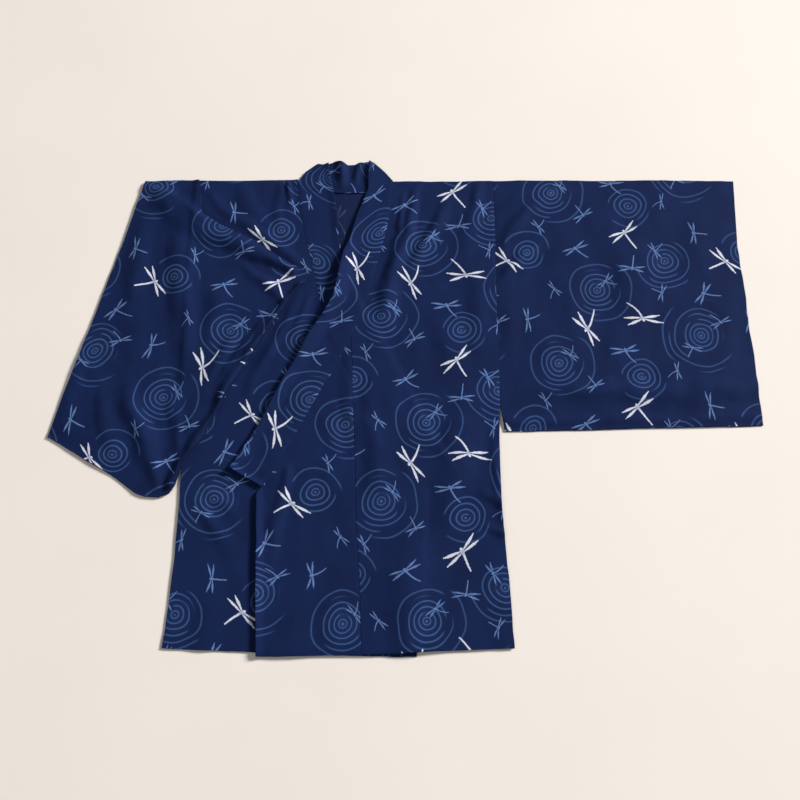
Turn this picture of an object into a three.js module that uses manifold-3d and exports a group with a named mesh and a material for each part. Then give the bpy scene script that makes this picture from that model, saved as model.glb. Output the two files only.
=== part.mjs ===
// A kimono-cut under-jacket laid flat with its front up, in millimetres.
// +X runs along the wearer's left sleeve, +Y towards the collar and +Z up from the table.
import * as THREE from 'three';
import { mergeVertices } from 'three/addons/utils/BufferGeometryUtils.js';
import Module from 'manifold-3d';

const wasm = await Module();
wasm.setup();

// ---- Driving dimensions. The cut is drawn with x = 0 on the centre back and y = 0 on the shoulder line.
const CLOTH = 1.0; // one layer of cloth
const BAND = 2.2; // the collar: a doubled, interfaced strip
const SEAM = 0.4; // sideways clearance of a slanting seam
const REST = 0.35; // clearance between one layer and the next
const SLEEVE_AIR = 0.6; // between the two layers of a sleeve

const LENGTH = 870; // shoulder line to hem at the front edge
const ARMHOLE_X = 277; // centre back to the armhole seam
const ARMHOLE_DEPTH = 444; // how far down the sleeve is sewn to the body
const CUFF_X = 731; // centre back to the left cuff
const SLEEVE_DEPTH = 482; // shoulder line to the foot of the left cuff
const COLLAR_RISE = 44; // how far the back collar stands past the shoulder line
const SLEEVE_CORNER = { x: -506, y: -503 }; // the foot of the right cuff, swung down
const GORE_TOP = { x: 16, y: -318 }; // where the gore seam meets the collar
const NECK = { x: 91, y: -4 }; // where the collar crosses the shoulder

const CENTRE_X = (CUFF_X + SLEEVE_CORNER.x) / 2;
const CENTRE_Y = (COLLAR_RISE - LENGTH - 2) / 2;

// ---- Edges of the cut, each from the shoulder downwards.
const collarSeam = [
  [NECK.x, NECK.y], [83, -70], [72, -123], [60, -174], [44, -244], [GORE_TOP.x, GORE_TOP.y],
  [-28, -402], [-76, -494], [-104, -548], [-132, -592],
];
const collarEdge = [
  [44, COLLAR_RISE], [42, -17], [24, -66], [9, -123], [-3, -156], [-11, -204], [-19, -244],
  [-38, -280], [-56, -309], [-76, -351], [-104, -404], [-122, -441], [-157, -509], [-188, -560],
];
const collarTurn = [[46, COLLAR_RISE - 1], [56, 36], [72, 19]];
// The under collar shows in the neck, where its free edge runs its own way. It is drawn mirrored.
const underEdge = [
  [33, 39], [33, 22], [28, 0], [22, -28], [18, -56], [13, -85], [11, -119], [7, -147], [0, -176],
  [-8, -206], [-19, -244], [-38, -280], [-56, -309], [-76, -351], [-104, -404], [-122, -441],
  [-157, -509], [-188, -560],
];
const underTurn = [[38, 37], [44, 36], [54, 38], [77, 20]];
const goreSeam = [[GORE_TOP.x, GORE_TOP.y], [28, -635], [42, -LENGTH + 1]];
const frontEdge = [[-132, -592], [-140, -606], [-137, -700], [-129, -LENGTH - 2]];
const leftSide = [
  [ARMHOLE_X, -ARMHOLE_DEPTH], [273, -494], [272, -620], [277, -680], [283, -780], [287, -859],
];
// The right side is drawn mirrored too.
const rightSide = [
  [ARMHOLE_X, -ARMHOLE_DEPTH], [273, -520], [271, -620], [271, -710], [275, -765], [277, -810],
  [281, -859],
];
const backNeck = [[NECK.x, NECK.y], [62, -15], [30, -20], [0, -21]];
const rightSleeveInner = [
  [-276, -1], [-266, -70], [-233, -96], [-164, -129], [-113, -168], [-64, -194], [-66, -206],
  [-100, -254], [-141, -321], [-169, -370], [-198, -417], [-221, -467], [-238, -510],
  [-262, -537], [-271, -553], [-277, -580], [-284, -599], [-294, -607], [-307, -610],
];
const rightSleeveFoot = [
  [-330, -608], [-345, -603], [-360, -593], [-390, -572], [-445, -539],
  [SLEEVE_CORNER.x, SLEEVE_CORNER.y],
];

// ---- Folds that stand up from a panel: a ridge from one point to another.
const upperFolds = [
  { x1: 122, y1: -96, x2: 66, y2: -236, height: 5, width: 30 },
  { x1: 158, y1: -39, x2: 148, y2: -143, height: 3.5, width: 26 },
  { x1: 224, y1: -17, x2: 217, y2: -106, height: 3, width: 28 },
  { x1: 9, y1: -398, x2: 14, y2: -527, height: 2.5, width: 30 },
  { x1: 196, y1: -300, x2: 172, y2: -470, height: 2, width: 46 },
  { x1: 118, y1: -640, x2: 132, y2: -850, height: 3, width: 60 },
  { x1: -62, y1: -650, x2: -70, y2: -850, height: 2, width: 46 },
];
const underFolds = [
  { x1: -122, y1: -12, x2: -112, y2: -90, height: 3, width: 26 },
  { x1: -196, y1: -20, x2: -180, y2: -84, height: 2.5, width: 30 },
];
const rightSleeveFolds = [
  { x1: -352, y1: -14, x2: -262, y2: -76, height: 4.5, width: 24 },
  { x1: -250, y1: -96, x2: -132, y2: -164, height: 5, width: 30 },
  { x1: -92, y1: -216, x2: -188, y2: -372, height: 6, width: 30 },
  { x1: -204, y1: -392, x2: -252, y2: -500, height: 5, width: 30 },
  { x1: -150, y1: -250, x2: -214, y2: -352, height: 3, width: 32 },
  { x1: -350, y1: -90, x2: -356, y2: -250, height: 2.5, width: 40 },
  { x1: -250, y1: -180, x2: -262, y2: -330, height: 2.5, width: 44 },
  { x1: -420, y1: -420, x2: -376, y2: -520, height: 3, width: 36 },
  { x1: -340, y1: -400, x2: -316, y2: -520, height: 2.5, width: 40 },
];
const leftSleeveFolds = [
  { x1: 330, y1: -40, x2: 322, y2: -240, height: 2, width: 50 },
  { x1: 470, y1: -150, x2: 560, y2: -420, height: 2, width: 60 },
  { x1: 640, y1: -60, x2: 650, y2: -300, height: 2, width: 56 },
  { x1: 300, y1: -462, x2: 700, y2: -458, height: 1.6, width: 36 },
];

// ---- The lattice on which every layer is sampled, so that no layer dips through another.
const columns = [
  { from: -524, to: -300, count: 8 }, { from: -300, to: 140, count: 22 },
  { from: 140, to: 300, count: 7 }, { from: 300, to: 748, count: 9 },
];
const rows = [
  { from: -888, to: -620, count: 6 }, { from: -620, to: -280, count: 13 },
  { from: -280, to: 60, count: 17 },
];
const LAP_FLAT = 26; // a layer lies level this far past the edge of the one beneath
const LAP_FALL = 40; // and comes down over this distance

function latticeLines(stretches) {
  const lines = [stretches[0].from];
  for (const { from, to, count } of stretches) {
    for (let i = 1; i <= count; i += 1) lines.push(from + ((to - from) * i) / count);
  }
  return lines;
}

const latticeX = latticeLines(columns);
const latticeY = latticeLines(rows);

// ---- Plan outlines
const mirrored = (points) => points.map(([x, y]) => [-x, y]).reverse();
const shifted = (points, dx) => points.map(([x, y]) => [x + dx, y]);
const reversed = (points) => [...points].reverse();
const above = (points, y) => points.filter((point) => point[1] >= y);
const below = (points, y) => points.filter((point) => point[1] <= y);

const backOutline = (side) => [
  ...reversed(backNeck).map(([x, y]) => [x + (x > 0 ? SEAM : SEAM / 2), y - SEAM]),
  [NECK.x + 2 * SEAM, 0], [ARMHOLE_X, 0], ...side, [SEAM / 2, -LENGTH],
];
const frontOutline = (side) => [
  [NECK.x + SEAM, 0], [ARMHOLE_X, 0], ...side,
  ...shifted(reversed(goreSeam), SEAM / 2),
  ...shifted(reversed(above(collarSeam, GORE_TOP.y + 1)), SEAM / 2),
];

const outlines = {
  backLeft: backOutline(leftSide),
  backRight: mirrored(backOutline(rightSide)),
  frontLeft: frontOutline(leftSide),
  frontRight: mirrored(frontOutline(rightSide)),
  goreLeft: [
    [GORE_TOP.x - SEAM / 2, GORE_TOP.y - 2 * SEAM], ...shifted(goreSeam.slice(1), -SEAM / 2),
    ...reversed(frontEdge.slice(1)),
    ...shifted(reversed(below(collarSeam, GORE_TOP.y - 1)), SEAM / 2),
  ],
  collarLeft: [...collarTurn, ...shifted(collarSeam, -SEAM / 2), ...reversed(collarEdge)],
  collarBack: [
    [-44, 36], [-33, 39], [-21, COLLAR_RISE], [-8, 41], [3, 36], [18, 37], [30, 41],
    [44, COLLAR_RISE], ...backNeck, ...mirrored(backNeck).slice(1),
  ],
  sleeveLeft: [
    [ARMHOLE_X + SEAM, 0], [CUFF_X, 0], [CUFF_X - 6, -136], [CUFF_X - 4, -260],
    [CUFF_X, -SLEEVE_DEPTH], [621, -486], [472, -489], [283, -493],
    [ARMHOLE_X + 3, -ARMHOLE_DEPTH - 4], [ARMHOLE_X + SEAM, -ARMHOLE_DEPTH],
  ],
  sleeveRight: [
    [-378, 0], ...rightSleeveInner, ...rightSleeveFoot, [-408, -129],
  ],
};
outlines.goreRight = mirrored(outlines.goreLeft);
outlines.collarRight = mirrored([
  ...underTurn, ...shifted(collarSeam, -SEAM / 2), ...reversed(underEdge),
]);

// ---- Heights
const smooth = (t) => {
  const s = Math.min(Math.max(t, 0), 1);
  return s * s * (3 - 2 * s);
};

function distanceToSegment(x, y, x1, y1, x2, y2) {
  const dx = x2 - x1;
  const dy = y2 - y1;
  const t = Math.min(Math.max(((x - x1) * dx + (y - y1) * dy) / (dx * dx + dy * dy), 0), 1);
  return Math.hypot(x - x1 - t * dx, y - y1 - t * dy);
}

function isInside(outline, x, y) {
  let inside = false;
  outline.forEach(([x1, y1], i) => {
    const [x2, y2] = outline[(i + 1) % outline.length];
    if (y1 > y !== y2 > y && x < x1 + ((y - y1) * (x2 - x1)) / (y2 - y1)) inside = !inside;
  });
  return inside;
}

// 1 over an outline and just past it, falling to 0 beyond: how far a layer lifts what lies on it.
function lift(outline, x, y) {
  if (isInside(outline, x, y)) return 1;
  const distances = outline.map(([x1, y1], i) => {
    const [x2, y2] = outline[(i + 1) % outline.length];
    return distanceToSegment(x, y, x1, y1, x2, y2);
  });
  return 1 - smooth((Math.min(...distances) - LAP_FLAT) / LAP_FALL);
}

function foldHeight(folds, x, y) {
  return folds.reduce((sum, { x1, y1, x2, y2, height, width }) => {
    const reach = distanceToSegment(x, y, x1, y1, x2, y2) / width;
    return sum + height * (1 - smooth(reach));
  }, 0);
}

const clothStep = CLOTH + REST;
const bandStep = BAND + REST;
const overBack = (x, y) => Math.max(
  clothStep * Math.max(lift(outlines.backLeft, x, y), lift(outlines.backRight, x, y)),
  bandStep * lift(outlines.collarBack, x, y),
);
const underHeight = (x, y) => overBack(x, y) + foldHeight(underFolds, x, y);
const overUnderFront = (x, y) => underHeight(x, y) + Math.max(
  clothStep * Math.max(lift(outlines.frontRight, x, y), lift(outlines.goreRight, x, y)),
  bandStep * lift(outlines.collarRight, x, y),
);
const upperHeight = (x, y) => overUnderFront(x, y) + foldHeight(upperFolds, x, y);

// ---- Solids
function toSolid(geometry) {
  geometry.deleteAttribute('normal');
  geometry.deleteAttribute('uv');
  const merged = mergeVertices(geometry);
  return new wasm.Manifold(new wasm.Mesh({
    numProp: 3,
    vertProperties: new Float32Array(merged.attributes.position.array),
    triVerts: new Uint32Array(merged.index.array),
  }));
}

// A closed wall over the whole lattice between two heights.
function wall(bottomAt, topAt) {
  const nx = latticeX.length;
  const ny = latticeY.length;
  const positions = [];
  for (const heightAt of [bottomAt, topAt]) {
    for (const y of latticeY) {
      for (const x of latticeX) positions.push(x, y, heightAt(x, y));
    }
  }
  const index = [];
  const quad = (a, b, c, d) => index.push(a, b, c, a, c, d);
  const at = (i, j, level) => level * nx * ny + j * nx + i;
  for (let j = 0; j + 1 < ny; j += 1) {
    for (let i = 0; i + 1 < nx; i += 1) {
      quad(at(i, j, 1), at(i + 1, j, 1), at(i + 1, j + 1, 1), at(i, j + 1, 1));
      index.push(at(i, j, 0), at(i + 1, j + 1, 0), at(i + 1, j, 0));
      index.push(at(i, j, 0), at(i, j + 1, 0), at(i + 1, j + 1, 0));
    }
  }
  for (let i = 0; i + 1 < nx; i += 1) {
    quad(at(i, 0, 0), at(i + 1, 0, 0), at(i + 1, 0, 1), at(i, 0, 1));
    quad(at(i + 1, ny - 1, 0), at(i, ny - 1, 0), at(i, ny - 1, 1), at(i + 1, ny - 1, 1));
  }
  for (let j = 0; j + 1 < ny; j += 1) {
    quad(at(0, j + 1, 0), at(0, j, 0), at(0, j, 1), at(0, j + 1, 1));
    quad(at(nx - 1, j, 0), at(nx - 1, j + 1, 0), at(nx - 1, j + 1, 1), at(nx - 1, j, 1));
  }
  const geometry = new THREE.BufferGeometry();
  geometry.setAttribute('position', new THREE.Float32BufferAttribute(positions, 3));
  geometry.setIndex(index);
  return toSolid(geometry);
}

// An upright prism over a plan outline, taller than the whole garment.
function prism(outline) {
  const shape = new THREE.Shape(outline.map(([x, y]) => new THREE.Vector2(x, y)));
  const geometry = new THREE.ExtrudeGeometry(shape, { depth: 80, bevelEnabled: false });
  geometry.translate(0, 0, -20);
  return toSolid(geometry);
}

const panel = (outline, bottomAt, thickness) => prism(outline)
  .intersect(wall(bottomAt, (x, y) => bottomAt(x, y) + thickness));

const floor = () => 0;

// A body length: the back on the table, the front over it, and the fold along the shoulder.
function bodyLength(backPlan, frontPlan, frontBottomAt, side) {
  const neckX = NECK.x + 2 * SEAM;
  const shoulder = [[neckX, -CLOTH], [neckX, 0], [ARMHOLE_X, 0], [ARMHOLE_X, -CLOTH]];
  const foldOutline = side > 0 ? reversed(shoulder) : mirrored(shoulder).reverse();
  const fold = prism(foldOutline).intersect(wall(floor, (x, y) => frontBottomAt(x, y) + CLOTH));
  return panel(backPlan, floor, CLOTH).add(panel(frontPlan, frontBottomAt, CLOTH)).add(fold);
}

// A sleeve: one length of cloth folded at the top and sewn at the foot, open at the cuff and armhole.
function sleeve(outline, airOutline, bottomAt, folds) {
  const airBottom = (x, y) => bottomAt(x, y) + CLOTH;
  const airTop = (x, y) => airBottom(x, y) + SLEEVE_AIR + foldHeight(folds, x, y);
  const outer = prism(outline).intersect(wall(bottomAt, (x, y) => airTop(x, y) + CLOTH));
  return outer.subtract(prism(airOutline).intersect(wall(airBottom, airTop)));
}

const leftAir = [
  [ARMHOLE_X - 20, -2 * CLOTH], [CUFF_X + 15, -2 * CLOTH], [CUFF_X + 15, -SLEEVE_DEPTH + 2 * CLOTH],
  [621, -484], [472, -487], [284, -490], [ARMHOLE_X + 5, -ARMHOLE_DEPTH - 6],
  [ARMHOLE_X - 20, -ARMHOLE_DEPTH + 4],
];
const rightAir = [
  [-394, -2 * CLOTH], [-268, -3], [-256, -66], [-226, -84], [-156, -117], [-104, -156],
  [-60, -185], [-82, -236], [-103, -256], [-144, -323], [-172, -372], [-201, -419],
  [-224, -469], [-241, -512], [-265, -539], [-274, -555], [-280, -581], [-287, -597],
  [-296, -604], [-307, -607], [-329, -605], [-344, -600], [-358, -590], [-389, -569],
  [-444, -536], [-500, -502], [-526, -496],
];

const solids = {
  body_left: bodyLength(outlines.backLeft, outlines.frontLeft, upperHeight, 1),
  body_right: bodyLength(outlines.backRight, outlines.frontRight, underHeight, -1),
  gore_left: panel(outlines.goreLeft, upperHeight, CLOTH),
  gore_right: panel(outlines.goreRight, underHeight, CLOTH),
  collar_left: panel(outlines.collarLeft, upperHeight, BAND),
  collar_right: panel(outlines.collarRight, underHeight, BAND),
  collar_back: panel(outlines.collarBack, floor, BAND),
  sleeve_left: sleeve(outlines.sleeveLeft, leftAir, floor, leftSleeveFolds),
  sleeve_right: sleeve(outlines.sleeveRight, rightAir, overUnderFront, rightSleeveFolds),
};

// ---- The scene graph
const navyCloth = { color: 0x16204f, roughness: 0.85, metalness: 0 };
const navyBand = { color: 0x141c47, roughness: 0.85, metalness: 0 };

function toMesh(name, solid) {
  const { vertProperties, triVerts, numProp } = solid.getMesh();
  const positions = [];
  for (let i = 0; i < vertProperties.length; i += numProp) {
    positions.push(vertProperties[i], vertProperties[i + 1], vertProperties[i + 2]);
  }
  const geometry = new THREE.BufferGeometry();
  geometry.setAttribute('position', new THREE.Float32BufferAttribute(positions, 3));
  geometry.setIndex([...triVerts]);
  geometry.computeVertexNormals();
  const finish = name.startsWith('collar') ? navyBand : navyCloth;
  const mesh = new THREE.Mesh(geometry, new THREE.MeshStandardMaterial(finish));
  mesh.name = name;
  return mesh;
}

const jacket = new THREE.Group();
jacket.position.set(-CENTRE_X, -CENTRE_Y, 0);
for (const [name, solid] of Object.entries(solids)) jacket.add(toMesh(name, solid));

export default jacket;
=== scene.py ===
"""A kimono-cut under-jacket of printed navy cloth, laid flat on a pale table with its front up.

The cut is drawn in millimetres, with x = 0 on the centre back and y = 0 on the shoulder line. Every
sheet is a grid of points between two edges of the cut, raised by what it lies on and by its folds.
"""
import math

import bpy
import numpy as np
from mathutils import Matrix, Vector


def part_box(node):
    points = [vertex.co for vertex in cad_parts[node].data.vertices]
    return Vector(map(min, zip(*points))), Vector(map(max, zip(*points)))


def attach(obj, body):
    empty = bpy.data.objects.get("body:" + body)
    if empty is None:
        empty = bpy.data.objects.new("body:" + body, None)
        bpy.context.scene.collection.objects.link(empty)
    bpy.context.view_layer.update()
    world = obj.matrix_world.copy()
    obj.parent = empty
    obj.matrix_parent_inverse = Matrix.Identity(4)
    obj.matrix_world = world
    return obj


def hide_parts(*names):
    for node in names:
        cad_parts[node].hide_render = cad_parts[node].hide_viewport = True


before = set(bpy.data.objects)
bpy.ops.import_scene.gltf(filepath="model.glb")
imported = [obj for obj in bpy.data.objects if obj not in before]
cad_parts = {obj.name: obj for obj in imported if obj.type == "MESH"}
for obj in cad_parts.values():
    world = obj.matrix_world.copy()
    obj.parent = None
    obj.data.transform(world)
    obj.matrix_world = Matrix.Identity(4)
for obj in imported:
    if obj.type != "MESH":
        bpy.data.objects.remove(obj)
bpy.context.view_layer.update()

# ---- Sizes, in millimetres
MM = 0.001
CLOTH = 0.7  # the drawn thickness of one layer
BAND = 1.4  # the doubled collar
LAYER = 1.35  # how far one layer lifts the next
BAND_LAYER = 2.0  # how far the doubled collar lifts it
OFF_TABLE = 0.05  # how far the lowest cloth lies off the table
ARMHOLE_X = 277
ARMHOLE_DEPTH = 444
CUFF_X = 731
SWUNG_CORNER = (-506, -503)  # the lower corner of the swung sleeve's cuff
SLEEVE_DEPTH = 482
LENGTH = 870
COLLAR_RISE = 44
GRID = 4.0  # the usual spacing of a visible sheet's points
EDGE_ROW = 2.0  # how far inside an edge the next row of points lies
HEM_ROW = 2.5  # the same at the hem of a body length
SEAM_LAP = 6  # how far one edge of the centre-back seam lies under the other
LAP_GAP = 0.1  # how far the upper of those edges lies off the lower one
LAP_FALL = 6.0  # how far beyond the lap it has come down to the table
SEAM_DIP = 0.3  # how far the cloth dips at the armhole
DIP_REACH = 4.0  # how far from the armhole the dip ends
SEWN_FOOT = ARMHOLE_DEPTH + 2  # how far down the left sleeve is held to the body
SEWN_DOWN = 26  # how far above that it is held in full
SEWN_ACROSS = 28  # how far from the armhole it has left the body's height
SHOULDER_ROUND = 1.1  # how far the shoulder's fold stands out
LOWER_ROWS = 44  # rows of faces in a sleeve's hidden lower layer
SWING = math.radians(14)  # how far the right sleeve is swung down

# The strips of print that the collar shows: width and length, in millimetres.
COLLAR_STRIP = (65, 680)
BACK_COLLAR_STRIP = (62, 180)

# Where on the printed cloth each piece is cut, in millimetres.
CUT_AT = {
    "body_left": (0, 0), "body_right": (137, 45), "gore_left": (61, 203), "gore_right": (211, 97),
    "collar_left": (90, 30), "collar_right": (260, 150), "collar_back": (20, 250),
    "sleeve_left": (17, 88), "sleeve_right": (300, 120),
}

# The middle of the garment's width, in the cut, and the shoulder line's place in the row.
CENTRE_X = (CUFF_X + SWUNG_CORNER[0]) / 2
SHOULDER_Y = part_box("body_left")[1][1] / MM


def place(points):
    """Points of the cut, in millimetres, to the row frame, in metres.

    No edge of soft cloth lies quite straight, so every point is first moved a little sideways."""
    moved = np.array(points, float)
    x, y = moved[:, 0].copy(), moved[:, 1].copy()
    moved[:, 0] += 1.3 * value_noise(x, y, 66, 91) + 0.5 * value_noise(x, y, 21, 92)
    moved[:, 1] += 1.3 * value_noise(x, y, 66, 93) + 0.5 * value_noise(x, y, 21, 94)
    moved[:, 0] -= CENTRE_X
    moved[:, 1] += SHOULDER_Y
    return moved * MM


# ---- Edges of the cut, from the shoulder downwards
COLLAR_SEAM = [
    (91, -4), (83, -70), (72, -123), (60, -174), (44, -244), (16, -318),
    (-28, -402), (-76, -494), (-104, -548), (-132, -592),
]
COLLAR_EDGE = [
    (44, COLLAR_RISE), (42, -17), (24, -66), (9, -123), (-3, -156), (-11, -204), (-19, -244),
    (-38, -280), (-56, -309), (-76, -351), (-104, -404), (-122, -441), (-157, -509), (-188, -560),
]
UNDER_EDGE = [
    (-33, 39), (-33, 22), (-28, 0), (-22, -28), (-18, -56), (-13, -85), (-11, -119), (-7, -147),
    (0, -176), (8, -206), (19, -244), (38, -280), (56, -309), (76, -351), (104, -404), (122, -441),
    (157, -509), (188, -560),
]
COLLAR_TURN = [(46, COLLAR_RISE - 1), (56, 36), (72, 19)]  # the collar's outer edge beside the neck
UNDER_TURN = [(-38, 37), (-44, 36), (-54, 38), (-77, 20)]
NECK_TOP = [(-33, 39), (-21, 44), (-8, 41), (3, 36), (18, 37), (30, 41), (44, COLLAR_RISE)]
GORE_SEAM = [(16, -318), (28, -635), (42, -LENGTH + 1)]
FRONT_EDGE = [(-132, -592), (-140, -606), (-137, -700), (-129, -LENGTH - 2)]
LEFT_SIDE = [
    (ARMHOLE_X, -ARMHOLE_DEPTH), (273, -494), (272, -620), (277, -680), (283, -780), (287, -859),
]
RIGHT_SIDE = [  # drawn mirrored, as the under collar's seam is
    (ARMHOLE_X, -ARMHOLE_DEPTH), (273, -520), (271, -620), (271, -710), (275, -765), (277, -810),
    (281, -859),
]
RIGHT_SHOULDER = (-91, 4)  # where the right shoulder's fold meets the collar
BACK_NECK = [(91, -4), (62, -15), (30, -20), (0, -21)]
# The back's own neck edge, under the collar: depths, and how far out it lies at the first four.
NECK_DEPTHS = [0, 2, 11, 16, 17, LENGTH]
NECK_REACH = [92, 91, 62, 30]
SWUNG_INNER = [
    (-276, -1), (-266, -70), (-233, -96), (-164, -129), (-113, -168), (-68, -192), (-66, -206),
    (-100, -254), (-141, -321), (-169, -370), (-198, -417), (-221, -467), (-238, -510),
    (-262, -537), (-271, -553), (-277, -580), (-284, -599), (-294, -607), (-307, -610),
]
SWUNG_CUFF = [(-378, 0), (-408, -129), SWUNG_CORNER]
SWUNG_FOOT = [
    SWUNG_CORNER, (-445, -539), (-390, -572), (-360, -593), (-345, -603), (-330, -608), (-307, -610),
]


def mirrored(points):
    return [(-x, y) for x, y in points]


OUTLINES = {
    "back": [(-ARMHOLE_X, 0), *BACK_NECK[::-1], (ARMHOLE_X, 0), *LEFT_SIDE,
             *mirrored(RIGHT_SIDE[::-1])],
    "neck_band": [*mirrored(BACK_NECK[::-1]), *UNDER_TURN[::-1], *NECK_TOP, *COLLAR_TURN, *BACK_NECK],
    "under_front": [(-ARMHOLE_X, 0), *mirrored(COLLAR_SEAM), *mirrored(FRONT_EDGE[1:]),
                    *mirrored(RIGHT_SIDE[::-1])],
    "under_band": [*mirrored(COLLAR_SEAM[::-1]), *UNDER_TURN[::-1], *UNDER_EDGE],
}

# ---- Folds: each is a ridge along its points. Columns: x, y, height, half-width.
UPPER_FOLDS = [
    [(140, -4, 1, 12), (124, -70, 6, 16), (102, -143, 8, 20), (84, -224, 7, 24), (70, -290, 3, 32),
     (52, -350, 0, 32)],
    [(196, -20, 1, 14), (180, -82, 5, 18), (152, -133, 6, 20), (114, -190, 3, 24), (92, -230, 0, 24)],
    [(112, -30, 1, 9), (104, -82, 4, 9), (94, -120, 3, 10), (84, -150, 0, 10)],
    [(252, -14, 2, 18), (243, -60, 5, 20), (228, -112, 3.5, 24), (204, -180, 0, 30)],
    [(14, -350, 0, 16), (12, -400, 2.6, 20), (16, -470, 3, 22), (24, -540, 0, 26)],
    [(50, -400, 0, 24), (44, -470, 3, 28), (66, -560, 4, 36), (92, -640, 0, 42)],
    [(224, -400, 0, 30), (210, -480, 5, 46), (194, -590, 4.5, 50), (186, -700, 0, 44)],
    [(262, -480, 0, 16), (270, -560, 4, 15), (272, -640, 3, 15), (276, -700, 0, 16)],
    [(236, -598, 0, 12), (256, -612, 3, 13), (276, -622, 4, 12)],
    [(232, -652, 0, 12), (254, -664, 3, 13), (278, -672, 4, 12)],
    [(110, -640, 0, 40), (118, -740, 4, 54), (128, -858, 3, 50)],
    [(-60, -640, 0, 30), (-66, -740, 2.6, 40), (-74, -866, 2, 40)],
    [(-88, -560, 2.4, 14), (-100, -632, 3.6, 16), (-114, -712, 1.4, 20), (-116, -780, 0, 20)],
    [(150, -260, 0, 30), (182, -320, 3, 40), (196, -400, 0, 40)],
    [(232, -160, 0, 26), (244, -260, 3, 34), (248, -380, 0, 30)],
    [(-40, -440, 0, 16), (-10, -520, 2, 24), (-18, -620, 0, 26)],
]
UNDER_FOLDS = [
    [(-112, -1, 5, 8), (-104, -40, 3, 11), (-98, -90, 0, 14)],
    [(-128, -6, 2, 14), (-124, -60, 3, 20), (-112, -120, 1, 20), (-100, -150, 0, 20)],
    [(-196, -14, 1.6, 22), (-182, -60, 2.4, 26), (-150, -100, 1, 24), (-130, -130, 0, 22)],
    [(-256, -26, 1, 14), (-214, -76, 3, 16), (-150, -116, 4, 17), (-100, -156, 3, 16),
     (-72, -176, 1, 14)],
    [(-80, -235, 1, 12), (-100, -290, 3, 13), (-134, -352, 4, 15), (-160, -410, 2, 16),
     (-190, -470, 0, 18)],
    [(-62, -230, 1, 10), (-72, -262, 2.6, 10), (-88, -310, 1, 12), (-104, -350, 0, 12)],
    [(-250, -606, 0, 14), (-214, -650, 3.4, 18), (-176, -712, 1.4, 24), (-160, -770, 0, 24)],
    [(-232, -590, 0, 12), (-200, -616, 2.6, 14), (-160, -650, 0, 16)],
    [(-224, -720, 0, 30), (-216, -800, 2.6, 36), (-212, -866, 1.4, 36)],
]
SWUNG_FOLDS = [
    [(-378, -6, 2, 18), (-344, -34, 6, 34), (-304, -66, 8.5, 44), (-259, -96, 8, 40),
     (-200, -130, 6.5, 29), (-140, -160, 5.5, 21), (-92, -188, 5, 16)],
    [(-371, -4, 1, 9), (-304, -50, 1.6, 12), (-259, -80, 1.8, 12), (-194, -114, 1.2, 11)],
    [(-334, -6, 0, 18), (-270, -36, 2.4, 24), (-222, -68, 2.6, 24), (-170, -104, 0, 20)],
    [(-191, -168, 0, 12), (-149, -208, 4, 15), (-110, -246, 4, 14), (-92, -262, 1, 12)],
    [(-76, -216, 9, 12), (-107, -263, 11, 14), (-149, -331, 11.5, 15), (-184, -390, 11, 15),
     (-214, -450, 9.5, 16), (-242, -508, 8, 16), (-271, -551, 9, 14), (-287, -592, 7, 12)],
    [(-116, -250, 0, 10), (-136, -284, 5, 12), (-172, -340, 6, 13), (-200, -388, 4, 13),
     (-222, -430, 0, 12)],
    [(-168, -286, 0, 12), (-196, -330, 4, 16), (-224, -392, 3, 17), (-240, -440, 0, 16)],
    [(-304, -76, 0, 22), (-300, -150, 6, 32), (-292, -250, 6.5, 35), (-284, -330, 4, 34),
     (-276, -400, 0, 30)],
    [(-372, -80, 0, 20), (-380, -160, 4, 28), (-380, -270, 4, 30), (-366, -370, 0, 30)],
    [(-214, -190, 0, 22), (-226, -250, 4, 30), (-240, -330, 0, 28)],
    [(-373, -390, 0, 18), (-362, -446, 5.5, 26), (-340, -508, 7, 28), (-316, -562, 5, 24),
     (-308, -592, 2, 14)],
    [(-420, -390, 0, 16), (-412, -456, 4, 20), (-392, -512, 3, 22), (-376, -560, 0, 18)],
    [(-300, -400, 0, 16), (-288, -450, 4, 18), (-282, -520, 3, 16), (-292, -566, 0, 14)],
    [(-456, -290, 0, 22), (-470, -400, 3, 24), (-486, -480, 1, 20)],
]
STRAIGHT_FOLDS = [
    [(412, -3, 1, 14), (345, -60, 4.6, 19), (292, -118, 6, 18), (279, -164, 2, 16)],
    [(384, -6, 0, 10), (327, -36, 3, 12), (282, -64, 3.8, 12)],
    [(376, -120, 0, 12), (323, -158, 4, 15), (281, -196, 5, 15)],
    [(300, -250, 0, 26), (292, -310, 3, 30), (288, -390, 0, 24)],
    [(300, -414, 0, 24), (420, -424, 3.6, 30), (560, -424, 5.4, 34), (660, -420, 5, 32),
     (724, -412, 3, 28)],
    [(286, -474, 2, 14), (450, -476, 1.6, 13), (600, -474, 1.8, 13), (726, -470, 1.4, 13)],
    [(470, -60, 0, 40), (520, -180, 3, 60), (560, -320, 0, 60)],
    [(640, -40, 0, 40), (652, -160, 2.6, 50), (640, -300, 0, 50)],
    [(400, -200, 0, 34), (412, -300, 2.6, 44), (420, -380, 0, 40)],
]
NECK_FOLDS = [
    [(-10, 42, 7.5, 16), (-8, 18, 7.5, 16), (-6, -12, 2, 13)],
    [(26, 38, 4, 10), (20, 14, 4, 10), (16, -12, 0, 10)],
]
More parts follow.
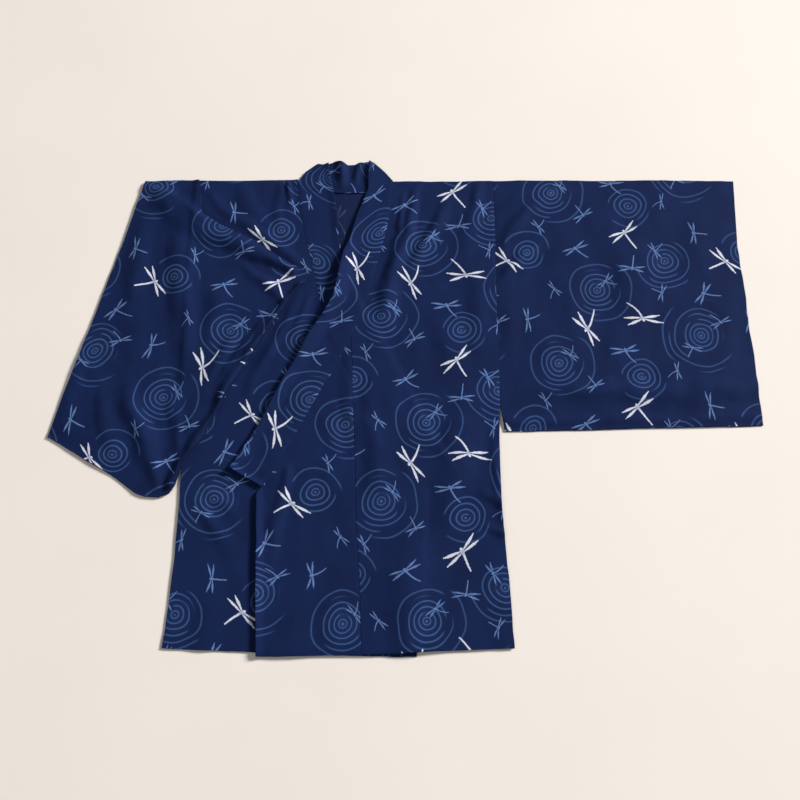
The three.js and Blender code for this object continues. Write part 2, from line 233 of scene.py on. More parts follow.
# How far a free edge stands off what lies beneath, in the same columns.
COLLAR_LIFTS = [
    [(44, 38, 0.8, 20), (40, -17, 0.5, 22), (24, -66, 1, 24), (9, -123, 4, 26), (-6, -180, 11.5, 30),
     (-18, -240, 12.5, 30), (-38, -282, 10.5, 26), (-62, -322, 11, 26), (-90, -376, 5, 24),
     (-112, -422, 8, 22), (-140, -476, 3.4, 20), (-165, -524, 3, 18), (-188, -560, 5, 18)],
    [(-188, -560, 5, 14), (-160, -580, 4.5, 14), (-136, -592, 4, 12)],
]
UNDER_LIFTS = [
    [(-33, 38, 3, 14), (-28, 4, 3, 14), (-22, -28, 2.6, 16), (-13, -85, 2.4, 16), (-11, -119, 1.6, 16),
     (-4, -166, 0, 16)],
]
FRONT_LIFTS = [
    [(-140, -604, 4, 14), (-138, -680, 4.6, 15), (-135, -760, 4, 16), (-131, -868, 3.4, 16)],
]


# ---- Heights
def smooth(t):
    s = np.clip(t, 0, 1)
    return s * s * (3 - 2 * s)


def to_segment(x, y, a, b):
    """(distance, share of the way along) of each point to the segment from a to b."""
    dx, dy = b[0] - a[0], b[1] - a[1]
    t = np.clip(((x - a[0]) * dx + (y - a[1]) * dy) / max(dx * dx + dy * dy, 1e-9), 0, 1)
    return np.hypot(x - a[0] - t * dx, y - a[1] - t * dy), t


def edge_distance(x, y, line):
    return np.min([to_segment(x, y, a, b)[0] for a, b in zip(line, line[1:])], axis=0)


def inside(x, y, outline):
    found = np.zeros(x.shape, bool)
    for (x1, y1), (x2, y2) in zip(outline, outline[1:] + outline[:1]):
        if y1 != y2:
            found ^= ((y1 > y) != (y2 > y)) & (x < x1 + (y - y1) * (x2 - x1) / (y2 - y1))
    return found


def cover(x, y, name, flat=1.5, fall=13.0):
    """1 over an outline and just past it, falling to 0 beyond."""
    outline = OUTLINES[name]
    away = edge_distance(x, y, outline + outline[:1])
    return np.where(inside(x, y, outline), 1.0, 1 - smooth((away - flat) / fall))


def ridge(x, y, rows):
    """The height of one fold, from the nearest point of its line."""
    best = np.full(x.shape, 1e9)
    height = np.zeros(x.shape)
    for a, b in zip(rows, rows[1:]):
        away, t = to_segment(x, y, a, b)
        width = a[3] + (b[3] - a[3]) * t
        near = away / width < best
        best = np.where(near, away / width, best)
        height = np.where(near, a[2] + (b[2] - a[2]) * t, height)
    return height * (1 - smooth(best))


def lifts(x, y, table):
    return sum(ridge(x, y, rows) for rows in table)


def folds(x, y, table):
    """The folds of a table, wandering a little off their lines and uneven in height."""
    off_x = x + 5 * value_noise(x, y, 48, 5) + 2 * value_noise(x, y, 17, 6)
    off_y = y + 5 * value_noise(x, y, 48, 7) + 2 * value_noise(x, y, 17, 8)
    return lifts(off_x, off_y, table) * (1 + 0.3 * value_noise(x, y, 40, 9))


CELLS = 97  # the noise repeats after this many cells
MIDDLE_CELL = 40.5  # the cell at the cut's origin


def value_noise(x, y, size, seed):
    """Smooth noise from -1 to 1, with features about size across."""
    lattice = np.random.RandomState(seed).rand(CELLS, CELLS) * 2 - 1
    u, v = x / size + MIDDLE_CELL, y / size + MIDDLE_CELL
    i, j = np.floor(u).astype(int), np.floor(v).astype(int)
    fu, fv = smooth(u - i), smooth(v - j)
    i0, i1, j0, j1 = i % CELLS, (i + 1) % CELLS, j % CELLS, (j + 1) % CELLS
    low = lattice[i0, j0] * (1 - fu) + lattice[i1, j0] * fu
    high = lattice[i0, j1] * (1 - fu) + lattice[i1, j1] * fu
    return low * (1 - fv) + high * fv


def rumple(x, y, seed, amount=1.0, lie=90):
    """Small uneven waves of handled cloth, always upwards. lie is the way they run, in degrees."""
    c, s = math.cos(math.radians(lie)), math.sin(math.radians(lie))
    run, over = c * x + s * y, c * y - s * x
    broad = 0.95 * value_noise(over, run * 0.5, 60, seed)
    narrow = 0.7 * value_noise(over, run * 0.5, 27, seed + 1)
    fine = 0.16 * value_noise(run * 0.8, over, 13, seed + 2)
    return amount * (broad + narrow + fine + 1.4) * 0.9


def over_back(x, y):
    return np.maximum(LAYER * cover(x, y, "back"), BAND_LAYER * cover(x, y, "neck_band"))


def under_height(x, y):
    return over_back(x, y) + folds(x, y, UNDER_FOLDS) + rumple(x, y, 11, 0.8, 80)


def over_under(x, y):
    return under_height(x, y) + np.maximum(
        LAYER * cover(x, y, "under_front"), BAND_LAYER * cover(x, y, "under_band"))


def upper_height(x, y):
    return over_under(x, y) + folds(x, y, UPPER_FOLDS) + rumple(x, y, 23, 1.0, 100)


# ---- Sheets
def along(line, shares):
    """Points at shares of a line's length."""
    line = np.array(line, float)
    steps = np.hypot(*np.diff(line, axis=0).T)
    reach = np.concatenate([[0], np.cumsum(steps)]) / steps.sum()
    return np.stack([np.interp(shares, reach, line[:, k]) for k in (0, 1)], axis=1)


def down(line, shares):
    """Points at shares of the way down a line, by its y."""
    line = np.array(line, float)
    y = line[0, 1] + (line[-1, 1] - line[0, 1]) * shares
    return np.stack([np.interp(-y, -line[:, 1], line[:, 0]), y], axis=1)


def shares(count, edge=0.0):
    """count + 1 shares from 0 to 1. With edge, a few closer ones lie next to both ends."""
    even = np.linspace(0, 1, count + 1)
    if not edge:
        return even
    close = np.array([edge * 0.35, edge])
    return np.unique(np.round(np.concatenate([even, close, 1 - close]), 7))


def rows_between(left, right, across):
    """A grid of plan points: one row for each pair of points of two edges."""
    return left[:, None, :] * (1 - across[None, :, None]) + right[:, None, :] * across[None, :, None]


def rows_to_foot(left, right, lengthwise, across, foot):
    """Rows between two edges whose last ones bend to the line of the foot, given from left to right."""
    plan = rows_between(along(left, lengthwise), along(right, lengthwise), across)
    level = rows_between(np.array(left[-1:], float), np.array(right[-1:], float), across)[0]
    bend = along(foot, across) - level
    return plan + bend[None] * lengthwise[:, None, None] ** 3


def sheet_mesh(name, points, fabric, closed_ring=False):
    """A grid of points (rows, columns, 3), in millimetres, as a mesh.

    Its UVs are the places on the printed cloth, in metres."""
    rows, cols = points.shape[:2]
    mesh = bpy.data.meshes.new(name)
    index = np.arange(rows * cols).reshape(rows, cols)
    if closed_ring:
        index = np.vstack([index, index[:1]])
    quads = np.stack([index[:-1, :-1], index[:-1, 1:], index[1:, 1:], index[1:, :-1]], axis=-1)
    mesh.from_pydata(place(points.reshape(-1, 3)).tolist(), [], quads.reshape(-1, 4).tolist())
    uv = mesh.uv_layers.new(name="fabric")
    # A ring's last row of faces goes back to its first points, so its fabric places carry on past them.
    last = fabric[-1:] + (fabric[-1:] - fabric[-2:-1])
    fabric_rows = np.concatenate([fabric, last]) if closed_ring else fabric
    corners = [fabric_rows[:-1, :-1], fabric_rows[:-1, 1:], fabric_rows[1:, 1:], fabric_rows[1:, :-1]]
    uv.data.foreach_set("uv", (np.stack(corners, axis=2).reshape(-1, 2) * MM).ravel())
    mesh.polygons.foreach_set("use_smooth", [True] * len(mesh.polygons))
    mesh.update()
    piece = bpy.data.objects.new(name, mesh)
    bpy.context.scene.collection.objects.link(piece)
    return piece


def thicken(piece, thickness, outside, inside_material=None):
    """Gives a sheet its thickness, inwards from the side that its faces show."""
    piece.data.materials.append(outside)
    solid = piece.modifiers.new("thickness", "SOLIDIFY")
    solid.thickness = thickness * MM
    solid.offset = -1
    if inside_material:
        piece.data.materials.append(inside_material)
        solid.material_offset = 1


def lay(piece, node):
    """Declares a sheet of cloth that stands for its CAD node."""
    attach(piece, "root")
    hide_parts(node)


# ---- Materials
class Nodes:
    """Small helpers that add and link shader nodes."""

    def __init__(self, material):
        material.use_nodes = True
        self.tree = material.node_tree
        self.tree.nodes.clear()

    def add(self, kind, **settings):
        node = self.tree.nodes.new(kind)
        for key, value in settings.items():
            setattr(node, key, value)
        return node

    def feed(self, socket, value):
        if isinstance(value, bpy.types.NodeSocket):
            self.tree.links.new(value, socket)
        elif value is not None:
            socket.default_value = value

    def math(self, operation, *values, clamp=False):
        node = self.add("ShaderNodeMath", operation=operation, use_clamp=clamp)
        for socket, value in zip(node.inputs, values):
            self.feed(socket, value)
        return node.outputs[0]

    def vector(self, operation, *values, scale=None):
        node = self.add("ShaderNodeVectorMath", operation=operation)
        for socket, value in zip(node.inputs, values):
            self.feed(socket, value)
        if scale is not None:
            self.feed(node.inputs["Scale"], scale)
        return node.outputs["Value" if operation in ("LENGTH", "DOT_PRODUCT") else "Vector"]

    def ramp(self, value, low, high, to_low=0.0, to_high=1.0):
        node = self.add("ShaderNodeMapRange", interpolation_type="SMOOTHSTEP")
        for socket, number in zip(node.inputs, (value, low, high, to_low, to_high)):
            self.feed(socket, number)
        return node.outputs[0]

    def mix(self, share, a, b):
        node = self.add("ShaderNodeMix", data_type="RGBA")
        self.feed(node.inputs[0], share)
        self.feed(node.inputs[6], a)
        self.feed(node.inputs[7], b)
        return node.outputs[2]

    def noise(self, vector, scale, detail=2.0, rough=0.5, output="Factor"):
        node = self.add("ShaderNodeTexNoise")
        self.feed(node.inputs["Vector"], vector)
        self.feed(node.inputs["Scale"], scale)
        self.feed(node.inputs["Detail"], detail)
        self.feed(node.inputs["Roughness"], rough)
        return node.outputs[0 if output == "Factor" else 1]


# The print's repeat, in millimetres. It was charted by hand, and then a check for overlaps moved some
# of the dragonflies a few millimetres apart.
REPEAT = (400.0, 340.0)
RIPPLES = [  # x, y, radius of the outermost ring, number of rings
    (70, 60, 62, 7), (212, 34, 44, 5), (326, 112, 70, 8), (146, 202, 62, 7), (272, 258, 55, 6),
    (20, 278, 42, 5),
]
DRAGONFLIES = [  # x, y, heading in degrees, scale, 0 for blue or 1 for white, lean of the wings
    (18, 142, 100, 1.05, 0, 0.2), (128, 18, -155, 0.9, 0, -0.15), (112, 284, 40, 1.15, 0, 0.15),
    (276, 42, -75, 0.8, 0, 0.25), (210, 247, 165, 1.1, 0, -0.2), (338, 193, 70, 1.15, 0, 0.1),
    (66, 204, -35, 0.75, 0, 0.25), (330, 318, 80, 1.1, 0, -0.2), (42, 330, 130, 0.8, 0, 0.15),
    (186, 83, 20, 1.15, 0, 0.2), (262, 195, -120, 0.8, 0, -0.25), (90, 77, 150, 0.8, 0, 0.15),
    (306, 88, -30, 0.85, 0, -0.15), (162, 221, 60, 0.85, 0, 0.2), (257, 282, 120, 0.9, 0, 0.1),
    (362, 139, -140, 0.95, 0, 0.15),
    (122, 129, 138, 1.5, 1, 0.25), (382, 262, -62, 1.45, 1, -0.25), (222, 146, -160, 1.6, 1, 0.3),
    (204, 316, 28, 1.5, 1, -0.2),
]
DRAGONFLY_REACH = 26.0  # no part of a dragonfly of scale 1 lies further from its middle
RIPPLE_COLOUR = (0.047, 0.101, 0.260, 1)
BLUE_COLOUR = (0.105, 0.188, 0.405, 1)
WHITE_COLOUR = (0.64, 0.68, 0.79, 1)
GROUND_COLOUR = (0.0064, 0.0158, 0.067)
REVERSE_COLOUR = (0.0078, 0.0155, 0.058)
REVERSE_PRINT = 0.045  # how strongly the print shows through on the reverse
THREAD = 0.5  # the weave's spacing, in millimetres


def nearest_motif(n, where, chart, reach_of, facts_of):
    """A point's place in the motif that it lies in, and that motif's facts.

    Both are sums over the chart, and are zero where no motif is within reach."""
    local, facts = None, None
    half = (REPEAT[0] / 2, REPEAT[1] / 2, 1.0)
    for row in chart:
        offset = n.vector("SUBTRACT", where, (row[0], row[1], 0.0))
        wrap = n.vector("WRAP", offset, half, tuple(-v for v in half))
        near = n.math("LESS_THAN", n.vector("LENGTH", wrap), reach_of(row))
        turn, size, second, third = facts_of(row)
        if turn is not None:
            rotate = n.add("ShaderNodeVectorRotate", rotation_type="Z_AXIS")
            n.feed(rotate.inputs["Vector"], wrap)
            rotate.inputs["Angle"].default_value = -turn
            wrap = rotate.outputs[0]
        wrap = n.vector("SCALE", wrap, scale=n.math("MULTIPLY", near, 1.0 / size))
        local = wrap if local is None else n.vector("ADD", local, wrap)
        fact = n.vector("SCALE", (1.0, second, third), scale=near)
        facts = fact if facts is None else n.vector("ADD", facts, fact)
    split = n.add("ShaderNodeSeparateXYZ")
    n.feed(split.inputs[0], facts)
    return local, split.outputs


def stroke(n, where, start, end, thin, thick, tip):
    """How far outside a brush stroke a point lies: thin where it starts, then thick, then as the tip."""
    run = (end[0] - start[0], end[1] - start[1], 0.0)
    length2 = run[0] ** 2 + run[1] ** 2
    offset = n.vector("SUBTRACT", where, (*start, 0.0))
    share = n.math("MULTIPLY", n.vector("DOT_PRODUCT", offset, run), 1 / length2, clamp=True)
    foot = n.vector("SCALE", run, scale=share)
    away = n.vector("LENGTH", n.vector("SUBTRACT", offset, foot))
    grown = n.math("SUBTRACT", away, n.ramp(share, 0.0, 0.6, thin, thick))
    return n.math("ADD", grown, n.ramp(share, 0.6, 1.0, 0.0, thick - tip))


def dragonfly_mask(n, where, lean, ragged):
    """Four narrow wings, a short body and a long curved tail, drawn about the y axis."""
    split = n.add("ShaderNodeSeparateXYZ")
    n.feed(split.inputs[0], where)
    across, along_body = split.outputs[0], split.outputs[1]
    join = n.add("ShaderNodeCombineXYZ")
    n.feed(join.inputs[0], n.math("ABSOLUTE", across))
    n.feed(join.inputs[1], n.math("MULTIPLY_ADD", n.math("MULTIPLY", across, lean), 1.0, along_body))
    folded = join.outputs[0]
    bend = n.math("MULTIPLY", n.math("MULTIPLY", along_body, along_body),
                  n.math("MULTIPLY_ADD", lean, 0.025, 0.007))
    curved = n.add("ShaderNodeCombineXYZ")
    n.feed(curved.inputs[0], n.math("SUBTRACT", across, bend))
    n.feed(curved.inputs[1], along_body)
    tail = curved.outputs[0]
    parts = [
        stroke(n, folded, (0.6, 1.9), (20.0, 7.6), 0.55, 1.4, 0.45),
        stroke(n, folded, (0.6, 0.4), (20.4, -1.8), 0.55, 1.4, 0.45),
        stroke(n, folded, (0.0, 3.6), (0.0, -2.2), 1.4, 1.5, 1.0),
        stroke(n, tail, (0.0, -2.0), (0.0, -22.5), 0.95, 0.85, 0.7),
    ]
    nearest = parts[0]
    for part in parts[1:]:
        nearest = n.math("MINIMUM", nearest, part)
    return n.ramp(n.math("ADD", nearest, ragged), -0.35, 0.5, 1.0, 0.0)


def ripple_mask(n, where, facts, wobble):
    """Concentric rings drawn freehand: evenly loose inside, broken into arcs towards the rim."""
    inside_any, radius, count = facts[0], facts[1], facts[2]
    away = n.math("ADD", n.vector("LENGTH", where), n.math("MULTIPLY", wobble, 2.6))
    share = n.math("DIVIDE", away, n.math("MAXIMUM", radius, 1.0))
    direction = n.vector("NORMALIZE", where)
    loose = n.noise(n.vector("SCALE", direction, scale=0.35), 1.0, 0.0)
    ring = n.math("ADD", n.math("MULTIPLY", n.math("POWER", share, 0.84), count),
                  n.math("MULTIPLY_ADD", loose, 0.5, -0.25))
    number = n.math("ROUND", ring)
    gap_mm = n.math("MULTIPLY", n.math("ABSOLUTE", n.math("SUBTRACT", ring, number)),
                    n.math("DIVIDE", radius, count))
    line = n.ramp(gap_mm, 0.7, 1.7, 1.0, 0.0)
    lift = n.add("ShaderNodeCombineXYZ")
    n.feed(lift.inputs[2], n.math("ADD", n.math("MULTIPLY", number, 2.7), radius))
    broken = n.noise(n.vector("ADD", n.vector("SCALE", direction, scale=0.5), lift.outputs[0]), 1.0, 0.0)
    lost = n.ramp(share, 0.25, 1.0, 0.25, 0.52)
    kept = n.ramp(n.math("SUBTRACT", broken, lost), 0.0, 0.07)
    within = n.math("MULTIPLY", n.math("LESS_THAN", number, n.math("ADD", count, 0.5)),
                    n.math("GREATER_THAN", number, 0.5))
    dot = n.ramp(away, 1.4, 2.8, 1.0, 0.0)
    faint = n.ramp(share, 0.1, 1.0, 1.0, 0.62)
    rings = n.math("MULTIPLY", n.math("MULTIPLY", line, kept), n.math("MULTIPLY", within, faint))
    wash = n.ramp(share, 0.0, 0.7, 0.11, 0.0)
    return n.math("MULTIPLY", n.math("MAXIMUM", n.math("MAXIMUM", rings, dot), wash), inside_any)


def printed_cloth(name, print_strength=1.0, ground_colour=GROUND_COLOUR):
    """Navy cotton with the ripple and dragonfly print, by the fabric places in the UV map."""
    material = bpy.data.materials.new(name)
    n = Nodes(material)
    uv = n.add("ShaderNodeUVMap", uv_map="fabric").outputs[0]
    fabric = n.vector("SCALE", uv, scale=1000.0)  # millimetres
    drift = n.noise(fabric, 0.016, 0.0, output="Color")
    centred = n.vector("SUBTRACT", drift, (0.5, 0.5, 0.5))
    shaken = n.vector("ADD", fabric, n.vector("SCALE", centred, scale=11.0))
    flat = n.vector("MULTIPLY", shaken, (1.0, 1.0, 0.0))

    ripple_place, ripple_facts = nearest_motif(
        n, flat, RIPPLES, lambda row: row[2] * 1.06,
        lambda row: (None, 1.0, float(row[2]), float(row[3])))
    wobble = n.math("SUBTRACT", n.noise(fabric, 0.035, 0.0), 0.5)
    ripples = ripple_mask(n, ripple_place, ripple_facts, wobble)
    fly_place, fly_facts = nearest_motif(
        n, flat, DRAGONFLIES, lambda row: DRAGONFLY_REACH * row[3],
        lambda row: (math.radians(row[2]), row[3], float(row[4]), row[5]))
    brush = n.noise(fabric, 0.28, 2.0, 0.6)
    ragged = n.math("MULTIPLY_ADD", brush, 1.5, -0.75)
    flies = n.math("MULTIPLY", dragonfly_mask(n, fly_place, fly_facts[2], ragged), fly_facts[0])

    ink = n.noise(fabric, 0.35, 3.0, 0.6)
    ink_share = n.ramp(ink, 0.25, 0.55, 0.72, 1.0)
    mottled = n.noise(fabric, 0.012, 3.0, 0.55)
    slub = n.noise(n.vector("MULTIPLY", fabric, (0.25, 2.2, 1.0)), 0.6, 2.0, 0.6)
    tone = n.math("MULTIPLY_ADD", mottled, 0.6, n.math("MULTIPLY_ADD", slub, 0.3, 0.54))
    ground = n.vector("SCALE", ground_colour, scale=tone)
    colour = n.mix(n.math("MULTIPLY", n.math("MULTIPLY", ripples, ink_share), 0.85 * print_strength),
                   ground, RIPPLE_COLOUR)
    pale = n.math("MULTIPLY", fly_facts[1], n.ramp(n.vector("LENGTH", fly_place), 0.5, 4.5, 0.45, 1.0))
    fly_colour = n.mix(pale, BLUE_COLOUR, WHITE_COLOUR)
    colour = n.mix(n.math("MULTIPLY", n.math("MULTIPLY", flies, ink_share), print_strength),
                   colour, fly_colour)

    # The weave: warp and weft threads, one wave of each to a THREAD.
    split = n.add("ShaderNodeSeparateXYZ")
    n.feed(split.inputs[0], fabric)
    warp = n.math("SINE", n.math("MULTIPLY", split.outputs[0], 2 * math.pi / THREAD))
    weft = n.math("SINE", n.math("MULTIPLY", split.outputs[1], 2 * math.pi / THREAD))
    weave = n.math("MULTIPLY", warp, weft)
    fuzz = n.noise(fabric, 1.1, 3.0, 0.7)
    bump = n.add("ShaderNodeBump")
    bump.inputs["Strength"].default_value = 0.35
    bump.inputs["Distance"].default_value = 0.0002
    n.feed(bump.inputs["Height"], n.math("ADD", n.math("MULTIPLY", weave, 0.35), fuzz))

    surface = n.add("ShaderNodeBsdfPrincipled")
    n.feed(surface.inputs["Base Color"], colour)
    n.feed(surface.inputs["Roughness"], n.ramp(fuzz, 0.2, 0.8, 0.72, 0.88))
    n.feed(surface.inputs["Normal"], bump.outputs[0])
    surface.inputs["Specular IOR Level"].default_value = 0.06
    surface.inputs["Sheen Weight"].default_value = 0.02
    surface.inputs["Sheen Roughness"].default_value = 0.45
    surface.inputs["Sheen Tint"].default_value = (0.55, 0.62, 0.95, 1)
    output = n.add("ShaderNodeOutputMaterial")
    n.feed(output.inputs[0], surface.outputs[0])
    return material


print_side = printed_cloth("printed_cloth")
reverse_side = printed_cloth("printed_cloth_reverse", REVERSE_PRINT, REVERSE_COLOUR)
band_cloth = printed_cloth("collar_cloth")


# ---- The sheets of the jacket
def make_body(name, side, left, right, front_height):
    """One body length, back and front in one. side is 1 for the wearer's left and -1 for the right.

    left and right are the front's edges in plan, from the shoulder down."""
    width = abs(right[-1][0] - left[-1][0])
    across = shares(round(width / GRID), EDGE_ROW / width)
    front_down = shares(round(LENGTH / GRID), HEM_ROW / LENGTH)[::-1]  # hem to shoulder
    front = rows_between(down(left, front_down), down(right, front_down), across)
    x, y = front[..., 0], front[..., 1]
    z = front_height(x, y) + CLOTH
    z = z - SEAM_DIP * (1 - smooth((ARMHOLE_X - np.abs(x)) / DIP_REACH))
    front_points = np.dstack([x, y, z])

    # The back's rows lie closer together at the neck.
    back_down = np.concatenate([np.linspace(0.004, 0.03, 8), np.linspace(0.045, 1, 36)])
    # The back's neck edge runs on under the collar, and its centre seam is lapped, left under right.
    lap = SEAM_LAP if side > 0 else 0.0
    inner_x = np.interp(back_down * LENGTH, NECK_DEPTHS, [*NECK_REACH, -lap, -lap])
    inner = np.stack([side * inner_x, -back_down * LENGTH], axis=1)
    outer = down([(ARMHOLE_X, 0), *(LEFT_SIDE if side > 0 else RIGHT_SIDE)], back_down)
    outer[:, 0] *= side
    back = rows_between(inner, outer, across) if side > 0 else rows_between(outer, inner, across)
    raised = 0.0 if side > 0 else CLOTH + LAP_GAP
    back_z = OFF_TABLE + raised * (1 - smooth((np.abs(back[..., 0]) - SEAM_LAP - 1) / LAP_FALL))
    back_points = np.dstack([back[..., 0], back[..., 1], back_z])

    # The fold over the shoulder.
    edge = front_points[-1]
    fold = []
    for turn in (0.25, 0.5, 0.75):
        angle = math.pi * turn
        lift = 0.5 + 0.5 * math.cos(angle)
        fold_y = edge[:, 1] * (1 - turn) + SHOULDER_ROUND * math.sin(angle)
        fold_z = OFF_TABLE + (edge[:, 2] - OFF_TABLE) * lift
        fold.append(np.column_stack([edge[:, 0], fold_y, fold_z]))
    points = np.concatenate([front_points, np.array(fold), back_points])
    fabric = points[..., :2].copy()
    turned = len(front_points) + 1
    fabric[turned:, :, 1] *= -1
    fabric += CUT_AT[name]
    piece = sheet_mesh(name + "_cloth", points, fabric)
    thicken(piece, CLOTH, print_side, reverse_side)
    lay(piece, name)


def make_panel(name, slot, left, right, height, fabric_of, step=GRID, seams=(), by_length=False):
    """A single laid panel between two edges.

    fabric_of turns its plan and its grid's shares into places on the printed cloth."""
    thickness, outside = (BAND, band_cloth) if slot == "collar_band" else (CLOTH, print_side)
    walk = along if by_length else down
    span = max(math.dist(left[0], left[-1]), math.dist(right[0], right[-1]))
    width = max(abs(a[0] - b[0]) for a, b in zip(walk(left, shares(8)), walk(right, shares(8))))
    across = shares(max(round(width / step), 6), EDGE_ROW / width)
    lengthwise = shares(round(span / step), EDGE_ROW / span)[::-1]
    plan = rows_between(walk(left, lengthwise), walk(right, lengthwise), across)
    x, y = plan[..., 0], plan[..., 1]
    z = height(x, y) + thickness
    for seam, depth, reach in seams:
        z = z - depth * (1 - smooth(edge_distance(x, y, seam) / reach))
    points = np.dstack([x, y, z])
    fabric = fabric_of(x, y, across, lengthwise) + CUT_AT[name]
    piece = sheet_mesh(name + "_cloth", points, fabric)
    thicken(piece, thickness, outside)
    lay(piece, name)


def tube_fold(edge, outwards):
    """The fold of a tube along an edge of its upper layer: one step out and half-way down."""
    half = edge.copy()
    half[:, 1] += outwards
    half[:, 2] = edge[:, 2] * 0.5
    return half[None]


def make_sleeve(name, armhole, cuff, foot, bottom_height, table, seed, turn, joins=None):
    """A sleeve: a flat tube, its back layer beneath and its front layer above.

    joins is the height of the body's front, which the sleeve's front meets along the armhole."""
    depth = max(math.dist(a, b) for a, b in ((armhole[0], armhole[-1]), (cuff[0], cuff[-1])))
    reach = max(abs(a[0] - b[0]) for a, b in zip(armhole, cuff))
    near, far = (along(edge, np.array([0.4]))[0, 0] for edge in (armhole, cuff))
    width = max(reach, abs(near - far))
    left, right = (armhole, cuff) if cuff[0][0] > armhole[0][0] else (cuff, armhole)
    across = shares(round(width / GRID), EDGE_ROW / width)
    top_down = shares(round(depth / GRID), EDGE_ROW / depth)
    top = rows_to_foot(left, right, top_down, across, foot)
    x, y = top[..., 0], top[..., 1]
    rim = [*cuff, *foot] if cuff[-1] == foot[0] else [*cuff, *foot[::-1]]
    settled = 0.3 + 0.7 * smooth(edge_distance(x, y, rim) / 40)
    waves = rumple(x, y, seed, 1.5, 75) * settled
    z = bottom_height(x, y) + LAYER + CLOTH + 0.7 * settled + folds(x, y, table) + waves
    if joins:
        held = smooth((y + SEWN_FOOT) / SEWN_DOWN)
        sewn = (1 - smooth((x - ARMHOLE_X) / SEWN_ACROSS)) * held
        z = z * (1 - sewn) + (joins(ARMHOLE_X + 0 * x, y) + CLOTH) * sewn
        z = z - SEAM_DIP * (1 - smooth((x - ARMHOLE_X) / DIP_REACH)) * held
    upper = np.dstack([x, y, z])

    low = rows_to_foot(left, right, shares(LOWER_ROWS)[::-1], across, foot)
    low_x, low_y = low[..., 0], low[..., 1]
    lower = np.dstack([low_x, low_y, bottom_height(low_x, low_y) + OFF_TABLE])
    ring = np.concatenate([upper[::-1], tube_fold(upper[0], 1), lower[::-1], tube_fold(upper[-1], -1)])

    c, s = math.cos(turn), math.sin(turn)
    rel = ring[..., :2] - np.array(cuff[0])
    fabric = np.dstack([c * rel[..., 0] - s * rel[..., 1], s * rel[..., 0] + c * rel[..., 1]])
    fabric[len(upper):, :, 1] *= -1
    fabric += CUT_AT[name]
    piece = sheet_mesh(name + "_cloth", ring, fabric, closed_ring=True)
    thicken(piece, CLOTH, print_side, reverse_side)
    lay(piece, name)


def plain(x, y, across, lengthwise):
    """Places on the printed cloth of a panel that is cut as it lies."""
    return np.dstack([x, y])


def strip(width, length):
    """Places on the printed cloth of a band: across it, then along it."""
    def fabric(x, y, across, lengthwise):
        u, v = np.meshgrid(across * width, -lengthwise * length)
        return np.dstack([u, v])
    return fabric


def gore_left_height(x, y):
    return upper_height(x, y) + lifts(x, y, FRONT_LIFTS)


def collar_left_height(x, y):
    return upper_height(x, y) + lifts(x, y, COLLAR_LIFTS)


def collar_right_height(x, y):
    return under_height(x, y) + lifts(x, y, UNDER_LIFTS)


def collar_back_height(x, y):
    """The back collar's lower edge lies over the back, and higher over the back's seam."""
    over_seam = 0.85 + 0.85 * (1 - smooth((np.abs(x) - 14) / 16))
    return lifts(x, y, NECK_FOLDS) + OFF_TABLE + over_seam * smooth((4 - y) / 14)


def on_table(x, y):
    return 0 * x


make_body("body_left", 1, [*COLLAR_SEAM[:5], *GORE_SEAM], [(ARMHOLE_X, 0), *LEFT_SIDE], upper_height)
make_body("body_right", -1, [(-ARMHOLE_X, 0), *mirrored(RIGHT_SIDE)],
          [RIGHT_SHOULDER, *mirrored([*COLLAR_SEAM[1:5], *GORE_SEAM])], under_height)

GORE_EDGE = [*COLLAR_SEAM[5:], *FRONT_EDGE[1:]]
make_panel("gore_left", "printed_cloth", GORE_EDGE, GORE_SEAM, gore_left_height, plain,
           seams=[(GORE_SEAM, 0.2, 4.0)])
make_panel("gore_right", "printed_cloth", mirrored(GORE_SEAM), mirrored(GORE_EDGE), under_height,
           plain, step=9.0)
make_panel("collar_left", "collar_band", COLLAR_EDGE, [*COLLAR_TURN, *COLLAR_SEAM],
           collar_left_height, strip(*COLLAR_STRIP), by_length=True, step=3.5,
           seams=[(COLLAR_SEAM, 0.6, 5.0)])
make_panel("collar_right", "collar_band", [*UNDER_TURN, *mirrored(COLLAR_SEAM)], UNDER_EDGE,
           collar_right_height, strip(*COLLAR_STRIP), by_length=True, step=3.5,
           seams=[(mirrored(COLLAR_SEAM), 0.6, 5.0)])
NECK_UNDER = [(-88, -9), (-62, -20), (-30, -25), (0, -26), (30, -25), (62, -20), (88, -9)]
make_panel("collar_back", "collar_band", NECK_UNDER, NECK_TOP, collar_back_height,
           strip(*BACK_COLLAR_STRIP), by_length=True, step=3.0)

STRAIGHT_INNER = [(ARMHOLE_X + 0.05, 0), (ARMHOLE_X + 0.05, -ARMHOLE_DEPTH), (283, -493)]
STRAIGHT_CUFF = [(CUFF_X, 0), (CUFF_X - 6, -136), (CUFF_X - 4, -260), (CUFF_X, -SLEEVE_DEPTH)]
STRAIGHT_FOOT = [(283, -493), (472, -489), (621, -486), (CUFF_X, -SLEEVE_DEPTH)]
make_sleeve("sleeve_left", STRAIGHT_INNER, STRAIGHT_CUFF, STRAIGHT_FOOT, on_table, STRAIGHT_FOLDS,
            31, 0.0, joins=upper_height)
make_sleeve("sleeve_right", SWUNG_INNER, SWUNG_CUFF, SWUNG_FOOT, over_under, SWUNG_FOLDS,
            47, SWING)

# ---- Stage: a pale table, soft light and the camera
LOOK_X = 102  # where in the cut the camera looks, in millimetres
LOOK_DOWN = 435.7
LOOK_AT = Vector(((LOOK_X - CENTRE_X) * MM, (SHOULDER_Y - LOOK_DOWN) * MM, 0.0))
CAMERA_DISTANCE = 1.748
CAMERA_TILT = math.radians(19)
FLOOR_HALF = 6.0  # metres
WORLD_STRENGTH = 0.19


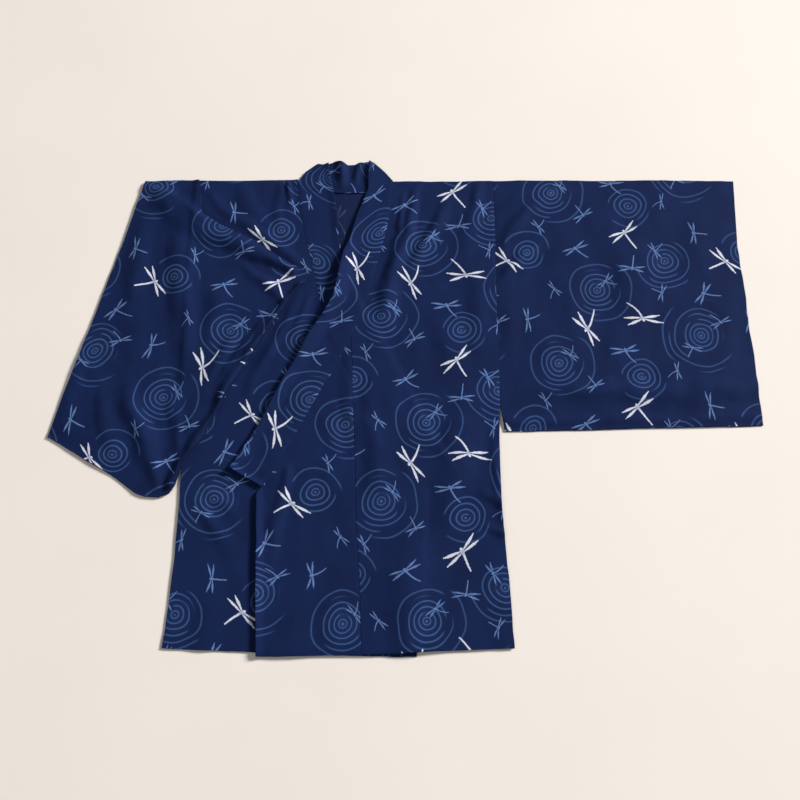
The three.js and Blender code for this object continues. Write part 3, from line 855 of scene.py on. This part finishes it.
def soft_light(name, place_at, side, power, colour):
    """A square lamp of this side, in metres, that looks at the row's origin."""
    lamp = bpy.data.lights.new(name, "AREA")
    lamp.shape = "RECTANGLE"
    lamp.size = side
    lamp.size_y = side
    lamp.energy = power
    lamp.color = colour
    holder = bpy.data.objects.new(name, lamp)
    holder.location = place_at
    holder.rotation_euler = (-Vector(place_at)).to_track_quat("-Z", "Y").to_euler()
    bpy.context.scene.collection.objects.link(holder)


def make_floor():
    mesh = bpy.data.meshes.new("floor")
    half = FLOOR_HALF
    mesh.from_pydata([(-half, -half, 0), (half, -half, 0), (half, half, 0), (-half, half, 0)], [],
                     [(0, 1, 2, 3)])
    floor = bpy.data.objects.new("floor", mesh)
    bpy.context.scene.collection.objects.link(floor)
    material = bpy.data.materials.new("pale_table")
    n = Nodes(material)
    place_on = n.add("ShaderNodeTexCoord").outputs["Object"]
    grain = n.noise(place_on, 3.0, 3.0)
    colour = n.mix(grain, (0.80, 0.755, 0.70, 1), (0.86, 0.815, 0.76, 1))
    surface = n.add("ShaderNodeBsdfPrincipled")
    n.feed(surface.inputs["Base Color"], colour)
    surface.inputs["Roughness"].default_value = 0.9
    output = n.add("ShaderNodeOutputMaterial")
    n.feed(output.inputs[0], surface.outputs[0])
    mesh.materials.append(material)


def make_camera():
    data = bpy.data.cameras.new("camera")
    data.sensor_width = 36.0
    data.lens = 45.0
    camera = bpy.data.objects.new("camera", data)
    offset = Vector((0, -math.sin(CAMERA_TILT), math.cos(CAMERA_TILT))) * CAMERA_DISTANCE
    camera.location = LOOK_AT + offset
    camera.rotation_euler = (CAMERA_TILT, 0, 0)
    bpy.context.scene.collection.objects.link(camera)
    bpy.context.scene.camera = camera


def make_world():
    world = bpy.data.worlds.new("studio")
    world.use_nodes = True
    background = world.node_tree.nodes["Background"]
    background.inputs[0].default_value = (1.0, 0.97, 0.94, 1)
    background.inputs[1].default_value = WORLD_STRENGTH
    bpy.context.scene.world = world


bpy.context.scene.view_settings.view_transform = "Standard"
make_floor()
make_camera()
make_world()
soft_light("key", (10.2, 5.85, 6.08), side=3.15, power=3060, colour=(1.0, 0.966, 0.95))
soft_light("fill", (-1.6, -1.4, 3.2), side=2.0, power=18, colour=(0.97, 0.98, 1.0))
